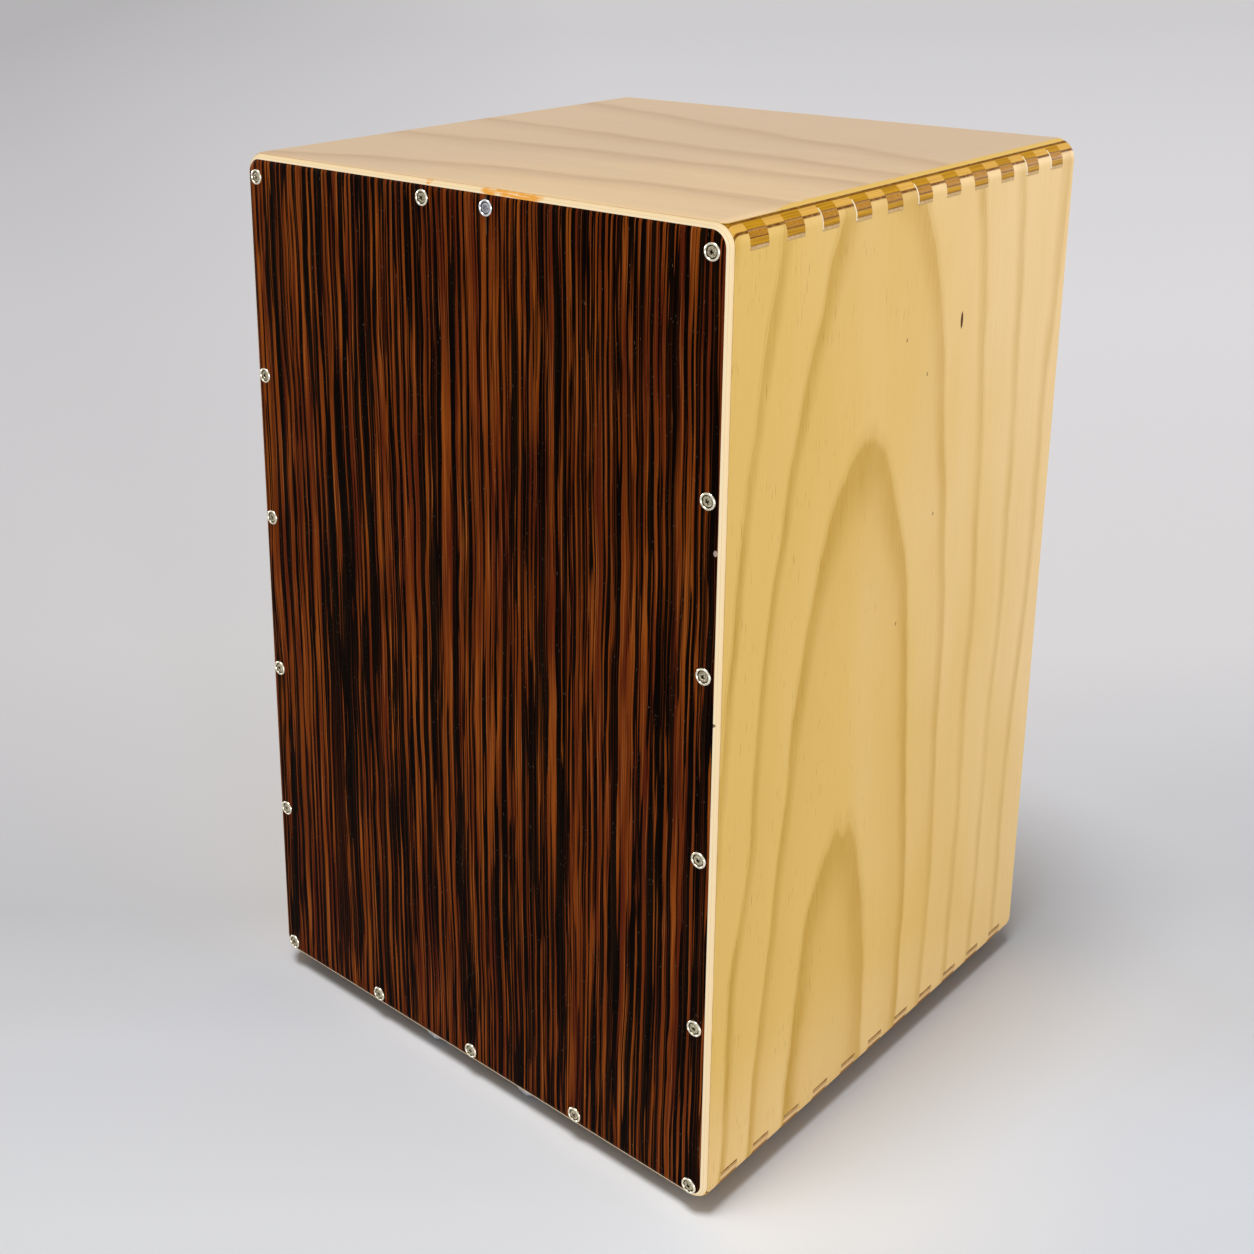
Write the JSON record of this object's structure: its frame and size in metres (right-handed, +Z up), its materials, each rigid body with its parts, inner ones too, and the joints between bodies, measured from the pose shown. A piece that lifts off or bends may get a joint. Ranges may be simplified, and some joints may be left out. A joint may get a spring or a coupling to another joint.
{
  "type": "box drum",
  "caption": "Seated wooden box drum: finger-jointed plywood box, screwed-on striped playing board, round sound hole at the back, rubber feet.",
  "frame": {"origin": "on the floor, under the middle of the whole drum", "axes": "+Z up, the playing board faces -Y, +X to the right of someone who looks at the front"},
  "size_m": [0.312, 0.3106, 0.488],
  "materials": {
    "shell_plywood": "satin lacquer",
    "seat_plywood": "satin lacquer",
    "dark_veneer": "satin lacquer",
    "back_plywood": "satin lacquer",
    "batten_wood": "sawn and sanded",
    "hardwood": "sanded",
    "nickel": "nickel plate",
    "zinc_steel": "zinc plate",
    "brass": "machined",
    "string_steel": "plain drawn wire",
    "foot_rubber": "matt"
  },
  "bodies": {
    "shell": {"left_side": "shell_plywood", "right_side": "shell_plywood", "top_panel": "seat_plywood", "bottom_panel": "shell_plywood", "tapa": "dark_veneer", "back_panel": "back_plywood", "back_batten_left": "batten_wood", "back_batten_right": "batten_wood", "back_batten_top": "batten_wood", "back_batten_bottom": "batten_wood", "tapa_screw_01": "nickel", "tapa_screw_02": "nickel", "tapa_screw_03": "nickel", "tapa_screw_04": "nickel", "tapa_screw_05": "nickel", "tapa_screw_06": "nickel", "tapa_screw_07": "nickel", "tapa_screw_08": "nickel", "tapa_screw_09": "nickel", "tapa_screw_10": "nickel", "tapa_screw_11": "nickel", "tapa_screw_12": "nickel", "tapa_screw_13": "nickel", "tapa_screw_14": "nickel", "tapa_screw_15": "nickel", "tapa_screw_16": "nickel", "tapa_screw_17": "nickel", "back_screw_01": "zinc_steel", "back_screw_02": "zinc_steel", "back_screw_03": "zinc_steel", "back_screw_04": "zinc_steel", "back_screw_05": "zinc_steel", "back_screw_06": "zinc_steel", "back_screw_07": "zinc_steel", "back_screw_08": "zinc_steel", "foot_01": "foot_rubber", "foot_screw_01": "zinc_steel", "foot_02": "foot_rubber", "foot_screw_02": "zinc_steel", "foot_03": "foot_rubber", "foot_screw_03": "zinc_steel", "foot_04": "foot_rubber", "foot_screw_04": "zinc_steel", "wire_anchor": "hardwood", "tuner_rail": "hardwood", "bolt_washer_left": "zinc_steel", "bolt_washer_right": "zinc_steel"},
    "bolt_left": {"tension_bolt_left": "zinc_steel"},
    "bolt_right": {"tension_bolt_right": "zinc_steel"},
    "carrier_left": {"wire_carrier_left": "brass", "wire_left_outer": "string_steel", "wire_left_inner": "string_steel"},
    "carrier_right": {"wire_carrier_right": "brass", "wire_right_outer": "string_steel", "wire_right_inner": "string_steel"}
  },
  "joints": [
    {"name": "bolt_turn_left", "type": "hinge", "parent": "shell", "child": "bolt_left", "pos_m": [-0.034, -0.14372, 0.0066], "axis": [0, 0, 1], "range_deg": [-2160, 1440]},
    {"name": "carrier_slide_left", "type": "slide", "parent": "shell", "child": "carrier_left", "axis": [0, 0, 1], "range_m": [-0.004, 0.006], "deforming": ["wire_left_outer", "wire_left_inner"]},
    {"name": "bolt_turn_right", "type": "hinge", "parent": "shell", "child": "bolt_right", "pos_m": [0.034, -0.14372, 0.0066], "axis": [0, 0, 1], "range_deg": [-2160, 1440]},
    {"name": "carrier_slide_right", "type": "slide", "parent": "shell", "child": "carrier_right", "axis": [0, 0, 1], "range_m": [-0.004, 0.006], "deforming": ["wire_right_outer", "wire_right_inner"]}
  ],
  "couplings": [
    {"joint": "bolt_turn_left", "follows": "carrier_slide_left", "rad_per_m": -6283.2},
    {"joint": "bolt_turn_right", "follows": "carrier_slide_right", "rad_per_m": -6283.2}
  ]
}
